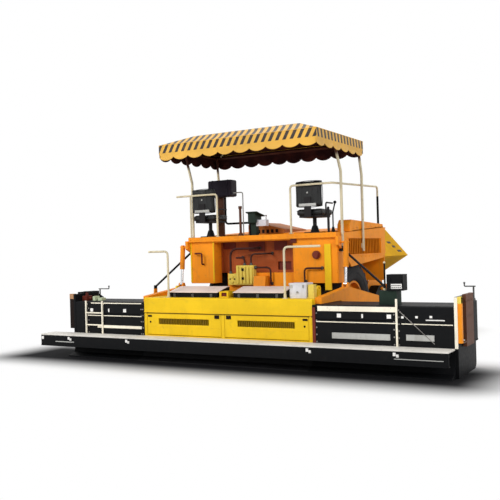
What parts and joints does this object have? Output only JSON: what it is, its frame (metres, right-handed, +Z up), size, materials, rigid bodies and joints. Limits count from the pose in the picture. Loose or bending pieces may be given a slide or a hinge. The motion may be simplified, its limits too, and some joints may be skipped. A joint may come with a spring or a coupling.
{
  "type": "wheeled asphalt paver",
  "caption": "Wheeled asphalt paver with a folding hopper, slat conveyor, augers, operator platform under a cloth canopy, and a wide towed screed with extensions.",
  "frame": {"origin": "on the ground, on the centre plane of the tractor, midway between the walkway edge and the push rollers", "axes": "+X to the right of the driver, +Y forward in the paving direction, +Z up"},
  "size_m": [7.09, 6.015, 3.7],
  "materials": {
    "orange_paint": "gloss paint, lightly worn",
    "screed_yellow": "gloss paint",
    "black_paint": "satin black paint",
    "rail_paint": "cream paint",
    "walkway_steel": "worn pale steel plate",
    "tyre_rubber": "matt black rubber",
    "rim_paint": "satin paint",
    "bare_steel": "worn steel",
    "cylinder_steel": "gloss paint",
    "chromed_rod": "hard chrome",
    "seat_vinyl": "black vinyl",
    "seat_steel": "satin black",
    "canopy_cloth": "coated canvas",
    "hose_rubber": "matt rubber",
    "engine_iron": "painted casting"
  },
  "bodies": {
    "tractor": {"auger_supports": "orange_paint", "bogie_beams": "black_paint", "bulkhead": "orange_paint", "canopy_cover": "canopy_cloth", "canopy_frame": "rail_paint", "chassis_frame": "orange_paint", "control_console": "black_paint", "conveyor": "bare_steel", "engine_block": "engine_iron", "engine_deck": "orange_paint", "engine_hood": "orange_paint", "exhaust": "black_paint", "final_drives": "rim_paint", "hopper_base": "orange_paint", "hydraulic_hoses": "hose_rubber", "operator_platform": "orange_paint", "platform_rails": "rail_paint", "push_roller_frame": "orange_paint", "rear_panels": "orange_paint", "seat_frames": "seat_steel", "seat_pads": "seat_vinyl", "side_panels": "orange_paint", "valve_block": "screed_yellow"},
    "screed": {"tow_arms": "orange_paint", "main_screed": "screed_yellow", "screed_extensions_inner": "black_paint", "screed_extensions_outer": "black_paint", "end_gates": "black_paint", "walkway": "walkway_steel", "screed_handrails": "rail_paint", "screed_heaters": "black_paint", "screed_control_box": "black_paint"},
    "drive_wheel_left": {"drive_rim_left": "rim_paint", "drive_tyre_left": "tyre_rubber"},
    "steer_fork_left_trailing": {"steer_fork_left_trailing": "black_paint"},
    "steer_wheel_left_trailing": {"steer_wheel_left_trailing": "tyre_rubber"},
    "steer_fork_left_leading": {"steer_fork_left_leading": "black_paint"},
    "steer_wheel_left_leading": {"steer_wheel_left_leading": "tyre_rubber"},
    "hopper_wing_left": {"hopper_wing_left": "orange_paint"},
    "wing_cylinder_left": {"wing_cylinder_left": "cylinder_steel"},
    "wing_cylinder_rod_left": {"wing_cylinder_rod_left": "chromed_rod"},
    "lift_cylinder_left": {"lift_cylinder_left": "cylinder_steel"},
    "lift_cylinder_rod_left": {"lift_cylinder_rod_left": "chromed_rod"},
    "push_roller_left": {"push_roller_left": "bare_steel"},
    "auger_left": {"auger_left": "bare_steel"},
    "screed_door_left": {"screed_door_left": "screed_yellow"},
    "drive_wheel_right": {"drive_rim_right": "rim_paint", "drive_tyre_right": "tyre_rubber"},
    "steer_fork_right_trailing": {"steer_fork_right_trailing": "black_paint"},
    "steer_wheel_right_trailing": {"steer_wheel_right_trailing": "tyre_rubber"},
    "steer_fork_right_leading": {"steer_fork_right_leading": "black_paint"},
    "steer_wheel_right_leading": {"steer_wheel_right_leading": "tyre_rubber"},
    "hopper_wing_right": {"hopper_wing_right": "orange_paint"},
    "wing_cylinder_right": {"wing_cylinder_right": "cylinder_steel"},
    "wing_cylinder_rod_right": {"wing_cylinder_rod_right": "chromed_rod"},
    "lift_cylinder_right": {"lift_cylinder_right": "cylinder_steel"},
    "lift_cylinder_rod_right": {"lift_cylinder_rod_right": "chromed_rod"},
    "push_roller_right": {"push_roller_right": "bare_steel"},
    "auger_right": {"auger_right": "bare_steel"},
    "screed_door_right": {"screed_door_right": "screed_yellow"}
  },
  "joints": [
    {"name": "screed_lift", "type": "hinge", "parent": "tractor", "child": "screed", "pos_m": [0, 0.95, 0.55], "axis": [-1, 0, 0], "range_deg": [0, 5]},
    {"name": "drive_wheel_spin_left", "type": "hinge", "parent": "tractor", "child": "drive_wheel_left", "pos_m": [-1.07, -0.43, 0.75], "axis": [-1, 0, 0], "continuous": true},
    {"name": "steering_left_trailing", "type": "hinge", "parent": "tractor", "child": "steer_fork_left_trailing", "pos_m": [-0.8, 1.55, 0.27], "axis": [0, 0, 1], "range_deg": [-14, 14]},
    {"name": "steer_wheel_spin_left_trailing", "type": "hinge", "parent": "steer_fork_left_trailing", "child": "steer_wheel_left_trailing", "pos_m": [-0.8, 1.55, 0.27], "axis": [-1, 0, 0], "continuous": true},
    {"name": "steering_left_leading", "type": "hinge", "parent": "tractor", "child": "steer_fork_left_leading", "pos_m": [-0.8, 2.27, 0.27], "axis": [0, 0, 1], "range_deg": [-20, 20]},
    {"name": "steer_wheel_spin_left_leading", "type": "hinge", "parent": "steer_fork_left_leading", "child": "steer_wheel_left_leading", "pos_m": [-0.8, 2.27, 0.27], "axis": [-1, 0, 0], "continuous": true},
    {"name": "wing_fold_left", "type": "hinge", "parent": "tractor", "child": "hopper_wing_left", "pos_m": [-0.66, 0.86, 1.146], "axis": [0, -1, 0], "range_deg": [0, 38]},
    {"name": "wing_cylinder_swing_left", "type": "hinge", "parent": "tractor", "child": "wing_cylinder_left", "pos_m": [-0.79, 1.18, 0.83], "axis": [0, -1, 0], "range_deg": [0, 18.38]},
    {"name": "wing_cylinder_stroke_left", "type": "slide", "parent": "wing_cylinder_left", "child": "wing_cylinder_rod_left", "axis": [0.3786, 0, -0.9255], "range_m": [0, 0.1785]},
    {"name": "lift_cylinder_swing_left", "type": "hinge", "parent": "tractor", "child": "lift_cylinder_left", "pos_m": [-1.55, -1.41, 1.8], "axis": [1, 0, 0], "range_deg": [0, 4.92]},
    {"name": "lift_cylinder_stroke_left", "type": "slide", "parent": "lift_cylinder_left", "child": "lift_cylinder_rod_left", "axis": [0, 0.0919, 0.9958], "range_m": [0, 0.2135]},
    {"name": "push_roller_spin_left", "type": "hinge", "parent": "tractor", "child": "push_roller_left", "pos_m": [-0.485, 2.91, 0.56], "axis": [-1, 0, 0], "continuous": true},
    {"name": "auger_spin_left", "type": "hinge", "parent": "tractor", "child": "auger_left", "pos_m": [-1.1, -1.45, 0.42], "axis": [-1, 0, 0], "continuous": true},
    {"name": "screed_door_hinge_left", "type": "hinge", "parent": "screed", "child": "screed_door_left", "pos_m": [-0.74, -2.586, 0.414], "axis": [1, 0, 0], "range_deg": [0, 85]},
    {"name": "drive_wheel_spin_right", "type": "hinge", "parent": "tractor", "child": "drive_wheel_right", "pos_m": [1.07, -0.43, 0.75], "axis": [-1, 0, 0], "continuous": true},
    {"name": "steering_right_trailing", "type": "hinge", "parent": "tractor", "child": "steer_fork_right_trailing", "pos_m": [0.8, 1.55, 0.27], "axis": [0, 0, 1], "range_deg": [-14, 14]},
    {"name": "steer_wheel_spin_right_trailing", "type": "hinge", "parent": "steer_fork_right_trailing", "child": "steer_wheel_right_trailing", "pos_m": [0.8, 1.55, 0.27], "axis": [-1, 0, 0], "continuous": true},
    {"name": "steering_right_leading", "type": "hinge", "parent": "tractor", "child": "steer_fork_right_leading", "pos_m": [0.8, 2.27, 0.27], "axis": [0, 0, 1], "range_deg": [-20, 20]},
    {"name": "steer_wheel_spin_right_leading", "type": "hinge", "parent": "steer_fork_right_leading", "child": "steer_wheel_right_leading", "pos_m": [0.8, 2.27, 0.27], "axis": [-1, 0, 0], "continuous": true},
    {"name": "wing_fold_right", "type": "hinge", "parent": "tractor", "child": "hopper_wing_right", "pos_m": [0.66, 0.86, 1.146], "axis": [0, 1, 0], "range_deg": [0, 38]},
    {"name": "wing_cylinder_swing_right", "type": "hinge", "parent": "tractor", "child": "wing_cylinder_right", "pos_m": [0.79, 1.18, 0.83], "axis": [0, 1, 0], "range_deg": [0, 18.38]},
    {"name": "wing_cylinder_stroke_right", "type": "slide", "parent": "wing_cylinder_right", "child": "wing_cylinder_rod_right", "axis": [-0.3786, 0, -0.9255], "range_m": [0, 0.1785]},
    {"name": "lift_cylinder_swing_right", "type": "hinge", "parent": "tractor", "child": "lift_cylinder_right", "pos_m": [1.55, -1.41, 1.8], "axis": [1, 0, 0], "range_deg": [0, 4.92]},
    {"name": "lift_cylinder_stroke_right", "type": "slide", "parent": "lift_cylinder_right", "child": "lift_cylinder_rod_right", "axis": [0, 0.0919, 0.9958], "range_m": [0, 0.2135]},
    {"name": "push_roller_spin_right", "type": "hinge", "parent": "tractor", "child": "push_roller_right", "pos_m": [0.485, 2.91, 0.56], "axis": [-1, 0, 0], "continuous": true},
    {"name": "auger_spin_right", "type": "hinge", "parent": "tractor", "child": "auger_right", "pos_m": [1.1, -1.45, 0.42], "axis": [-1, 0, 0], "continuous": true},
    {"name": "screed_door_hinge_right", "type": "hinge", "parent": "screed", "child": "screed_door_right", "pos_m": [0.74, -2.586, 0.414], "axis": [1, 0, 0], "range_deg": [0, 85]}
  ],
  "couplings": [
    {"joint": "steering_left_trailing", "follows": "steering_left_leading", "ratio": 0.7},
    {"joint": "wing_cylinder_swing_left", "follows": "wing_fold_left", "ratio": 0.48381},
    {"joint": "wing_cylinder_stroke_left", "follows": "wing_fold_left", "m_per_rad": 0.26913},
    {"joint": "lift_cylinder_swing_left", "follows": "screed_lift", "ratio": 0.9839},
    {"joint": "lift_cylinder_stroke_left", "follows": "screed_lift", "m_per_rad": 2.4465},
    {"joint": "steering_right_trailing", "follows": "steering_left_leading", "ratio": 0.7},
    {"joint": "steering_right_leading", "follows": "steering_left_leading", "ratio": 1},
    {"joint": "wing_cylinder_swing_right", "follows": "wing_fold_right", "ratio": 0.48381},
    {"joint": "wing_cylinder_stroke_right", "follows": "wing_fold_right", "m_per_rad": 0.26913},
    {"joint": "lift_cylinder_swing_right", "follows": "screed_lift", "ratio": 0.9839},
    {"joint": "lift_cylinder_stroke_right", "follows": "screed_lift", "m_per_rad": 2.4465}
  ]
}
